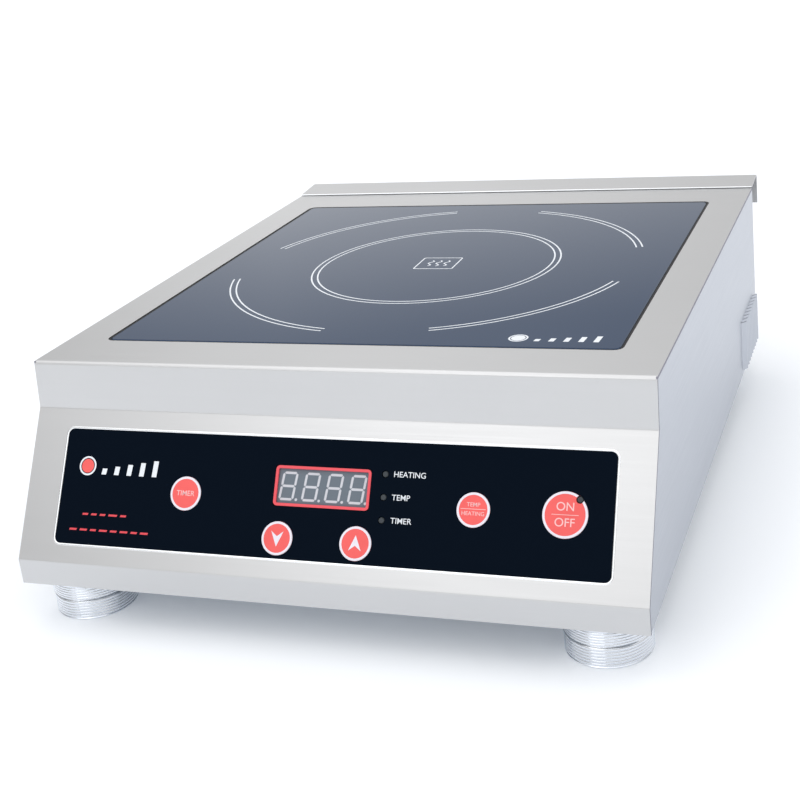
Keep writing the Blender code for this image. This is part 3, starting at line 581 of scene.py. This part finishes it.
def make_button_faces():
    """The caps: a red face with a pale rim, and its printed legend."""
    for name, (x, y, radius) in BUTTONS.items():
        body = f"{name}_button"
        place = PANEL @ Matrix.Translation((x * MM, y * MM, 0))
        edge = radius * MM
        rim = edge - RIM_WIDTH
        profile = [(0, BUTTON_FACE + 0.06 * MM), (rim * 0.6, BUTTON_FACE + 0.04 * MM), (rim, BUTTON_FACE),
                   (edge - 0.2 * MM, BUTTON_FACE), (edge - 0.05 * MM, BUTTON_FACE - 0.06 * MM),
                   (edge, BUTTON_FACE - 0.25 * MM), (edge, FLANGE_FRONT), (edge + FLANGE_REACH, FLANGE_FRONT),
                   (edge + FLANGE_REACH, FLANGE_BACK), (STEM_RADIUS, FLANGE_BACK), (STEM_RADIUS, STEM_END),
                   (0, STEM_END)]
        cap = piece(f"cap_{name}", turned(profile, 72), "button_red", body, place,
                    stands_for=(f"button_{name}",))
        band = [(rim, BUTTON_FACE - 0.1 * MM), (rim, BUTTON_FACE + 0.05 * MM),
                (edge - 0.15 * MM, BUTTON_FACE + 0.05 * MM), (edge + 0.02 * MM, BUTTON_FACE - 0.1 * MM),
                (edge + 0.02 * MM, BUTTON_FACE - 0.4 * MM), (edge - 0.3 * MM, BUTTON_FACE - 0.4 * MM)]
        ring = piece(f"cap_rim_{name}", turned(band, 72), "print_lilac", body, place)
        if name == "on_off":
            lamp_x, lamp_y = LAMPS["power"]
            notch = circle(LAMP_RADIUS + 0.35 * MM, 32, (lamp_x * MM, lamp_y * MM))
            for target in (cap, ring):
                lamp_space = prism(notch, -6 * MM, 1 * MM)
                lamp_space.transform(PANEL)
                carve(target, lamp_space)
        make_legend(name, place, body)


def make_legend(name, place, body):
    """The printed arrow or word on a button's cap."""
    face = BUTTON_FACE + 0.07 * MM
    low, high = face - LIFT, face + LIFT
    arrow = [(0, 4.0), (3.3, -3.5), (0, -1.0), (-3.3, -3.5)]

    def write(part, text, size, y):
        words(f"legend_{name}_{part}", text, size * MM, (0, y * MM), place, face, "print_pink", body)

    def rule(half, y):
        half_thick = 0.13
        low_y, high_y = y - half_thick, y + half_thick
        corners = [(-half, low_y), (half, low_y), (half, high_y), (-half, high_y)]
        line = prism([(a * MM, b * MM) for a, b in corners], low, high)
        piece(f"legend_{name}_rule", line, "print_pink", body, place)

    if name in ("up", "down"):
        sign = 1 if name == "up" else -1
        outline = [(a * sign * MM, b * sign * MM) for a, b in arrow]
        piece(f"legend_{name}_arrow", prism(outline, low, high), "print_lilac", body, place)
    elif name == "timer":
        write("word", "TIMER", 3.7, 0)
    elif name == "on_off":
        write("on", "ON", 5.6, 3.6)
        rule(6.4, 0)
        write("off", "OFF", 5.6, -3.7)
    else:
        write("temp", "TEMP", 2.8, 2.4)
        rule(6.2, 0.4)
        write("heating", "HEATING", 2.7, -1.8)


def make_display():
    """Four slanted seven-segment digits, each with its point, on the display's face."""
    low, high = DISPLAY_FACE - LIFT, DISPLAY_FACE + 2 * LIFT
    half_width, half_height, thick = 3.5, 6.5, 1.2
    end_gap, slant = 0.18, 0.12
    first, pitch = -18.4, 12.2
    point_radius, point_step = 0.7, 2.0
    segments = []

    def bar(x0, y0, x1, y1):
        along = Vector((x1 - x0, y1 - y0)).normalized()
        across = Vector((-along.y, along.x)) * thick / 2
        tip = along * thick / 2
        start = Vector((x0, y0)) + along * end_gap
        end = Vector((x1, y1)) - along * end_gap
        return [start, start + tip + across, end - tip + across,
                end, end - tip - across, start + tip - across]

    for digit in range(4):
        shapes = [bar(-half_width, y, half_width, y) for y in (half_height, 0.0, -half_height)]
        for x in (-half_width, half_width):
            shapes.append(bar(x, 0, x, half_height))
            shapes.append(bar(x, -half_height, x, 0))
        shapes.append([Vector(p) for p in circle(point_radius, 14, (half_width + point_step, -half_height))])
        middle = first + digit * pitch
        for shape in shapes:
            outline = [(DISPLAY_CENTRE.x + (p.x + middle + p.y * slant) * MM, DISPLAY_CENTRE.y + p.y * MM)
                       for p in shape]
            segments.append(prism(outline, low, high))
    piece("display_segments", together(segments), "segment_grey", matrix=PANEL)


# ---------------------------------------------------------------- feet


def make_feet():
    """Ribbed silver feet in ribbed collars, with a fine mould seam."""
    collar_low, collar_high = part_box("foot_collar_front_left")
    foot_low, foot_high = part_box("foot_front_left")
    seat = collar_low.z - 0.3 * MM

    def ribs(radius, bottom, top):
        count = max(1, round((top - bottom) / RIB_PITCH))
        step = (top - bottom) / count
        points = []
        for i in range(count):
            base = bottom + i * step
            for part, sunk in ((0.04, 1), (0.25, 0.2), (0.5, 0), (0.75, 0.2), (0.96, 1)):
                points.append((radius - sunk * RIB_DEPTH, base + part * step))
        return points

    def seam(angle):
        away = min(abs(angle - math.radians(turn)) for turn in SEAM_TURNS)
        return SEAM_HEIGHT if away < SEAM_HALF_TURN else 0

    for end in ("front", "rear"):
        for side in ("left", "right"):
            low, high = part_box(f"foot_{end}_{side}")
            centre = Matrix.Translation(((low.x + high.x) / 2, (low.y + high.y) / 2, 0))
            radius = (high.x - low.x) / 2 - SEAM_HEIGHT
            foot = [(0, 0), (radius - 1 * MM, 0), (radius - 0.3 * MM, 0.2 * MM), (radius, 0.6 * MM),
                    *ribs(radius, 0.9 * MM, seat - 0.4 * MM), (radius - 0.1 * MM, seat - 0.3 * MM),
                    (radius - 0.4 * MM, seat), (STUD_RADIUS, seat),
                    (STUD_RADIUS, foot_high.z), (0, foot_high.z)]
            piece(f"ribbed_foot_{end}_{side}", turned(foot, 120, seam), "foot_plastic", f"{end}_{side}_foot",
                  centre, stands_for=(f"foot_{end}_{side}",))
            radius = (collar_high.x - collar_low.x) / 2 - SEAM_HEIGHT
            bottom, top = collar_low.z, collar_high.z
            collar = [(BORE_RADIUS, bottom), (radius - 0.5 * MM, bottom), (radius, bottom + 0.4 * MM),
                      *ribs(radius, bottom + 0.6 * MM, top - 0.2 * MM), (radius - 0.2 * MM, top),
                      (BORE_RADIUS, top)]
            piece(f"ribbed_collar_{end}_{side}", turned(collar, 120, seam), "foot_plastic", "case", centre,
                  stands_for=(f"foot_collar_{end}_{side}",))


# ---------------------------------------------------------------- stage


FLOOR_RADIUS = 9.0
FLOOR_GLOW = 0.14


def make_stage():
    """A white floor under a pale dome, with one softbox before the sloping face."""
    floor = bpy.data.meshes.new("floor")
    outline = bmesh.new()
    outline.faces.new([outline.verts.new((x, y, 0)) for x, y in circle(FLOOR_RADIUS, 48)])
    outline.to_mesh(floor)
    outline.free()
    ground = bpy.data.objects.new("floor", floor)
    bpy.context.scene.collection.objects.link(ground)
    white = Shader("floor_white", (0.9, 0.912, 0.93), 0.9, Specular_IOR_Level=0.0)
    white.set("Emission Color", (0.78, 0.87, 1.0, 1))
    white.set("Emission Strength", FLOOR_GLOW)
    floor.materials.append(white.material)
    make_dome()
    softbox("front_softbox", Vector((0, FRONT, BASE)), Vector((-0.22, -0.77, 0.56)), 1.7, 0.9, 1.6)
    bpy.context.scene.view_settings.view_transform = "Standard"


# Brightness of the dome against the sine of the height above the horizon
DOME_HEIGHTS = ((0.0, 1.15), (0.19, 1.12), (0.32, 0.6), (0.47, 0.75), (0.64, 1.55), (1.0, 1.6))
# Brightness of the dome from its left end to its right end
DOME_WIDTHS = ((0.0, 0.62), (0.2, 0.68), (0.28, 1.15), (0.36, 1.05), (0.44, 0.88), (0.7, 0.8), (1.0, 0.75))
DOME_PEAK = 1.6


def make_dome():
    """Sky that is bright at the horizon and overhead, and varies from left to right."""
    world = bpy.data.worlds.new("studio")
    bpy.context.scene.world = world
    world.use_nodes = True
    nodes, links = world.node_tree.nodes, world.node_tree.links
    background = nodes["Background"]
    place = nodes.new("ShaderNodeTexCoord")
    parts = nodes.new("ShaderNodeSeparateXYZ")
    links.new(place.outputs["Generated"], parts.inputs["Vector"])

    def levels(source, stops):
        ramp = nodes.new("ShaderNodeValToRGB")
        elements = ramp.color_ramp.elements
        elements.remove(elements[1])
        for position, level in stops:
            element = elements[0] if position == 0 else elements.new(position)
            shade = level / DOME_PEAK
            element.color = (shade, shade, shade, 1)
        links.new(source, ramp.inputs["Fac"])
        return ramp.outputs["Color"]

    across = nodes.new("ShaderNodeMapRange")
    across.inputs["From Min"].default_value = -1.0
    links.new(parts.outputs["X"], across.inputs["Value"])
    blend = nodes.new("ShaderNodeVectorMath")
    blend.operation = "MULTIPLY"
    links.new(levels(parts.outputs["Z"], DOME_HEIGHTS), blend.inputs[0])
    links.new(levels(across.outputs["Result"], DOME_WIDTHS), blend.inputs[1])
    links.new(blend.outputs["Vector"], background.inputs["Color"])
    background.inputs["Strength"].default_value = DOME_PEAK ** 2


def softbox(name, target, direction, distance, size, power):
    """A square lamp at a distance from a target, in a direction, that faces it."""
    light = bpy.data.lights.new(name, "AREA")
    light.size = size
    light.energy = power
    lamp = bpy.data.objects.new(name, light)
    bpy.context.scene.collection.objects.link(lamp)
    lamp.location = target + direction.normalized() * distance
    lamp.rotation_euler = (-direction).to_track_quat("-Z", "Y").to_euler()


def make_camera():
    """A view from the front right, a little above the deck, with the frame rolled slightly."""
    azimuth, elevation, roll = (math.radians(a) for a in (20.17, 18.36, -5.85))
    distance = 739.5 * MM
    target = Vector((42.6 * MM, DECK_FRONT + 71.1 * MM, TOP))
    back = Vector((math.sin(azimuth) * math.cos(elevation), -math.cos(azimuth) * math.cos(elevation),
                   math.sin(elevation)))
    level = Vector((math.cos(azimuth), math.sin(azimuth), 0))
    upright = back.cross(level)
    right = level * math.cos(roll) + upright * math.sin(roll)
    up = upright * math.cos(roll) - level * math.sin(roll)
    lens = bpy.data.cameras.new("camera")
    lens.lens = 63.7
    lens.sensor_width = 36
    lens.shift_x = -0.0618
    lens.shift_y = -0.0981
    lens.clip_start = 0.01
    camera = bpy.data.objects.new("camera", lens)
    bpy.context.scene.collection.objects.link(camera)
    position = target + back * distance
    camera.matrix_world = Matrix.Translation(position) @ Matrix((right, up, back)).transposed().to_4x4()
    bpy.context.scene.camera = camera


make_stage()
make_camera()
finish_cad_nodes()
make_window_bead()
make_seam_edges_and_shadows()
make_canopy_hem()
make_glass_prints()
make_level_icon("glass_mark", (RING_CENTRE.x + 86.6 * MM, RING_CENTRE.y - 126.5 * MM), 9.2 * MM, Matrix(),
                GLASS_HIGH.z, "print_white")
make_panel_prints()
make_button_faces()
make_display()
make_feet()
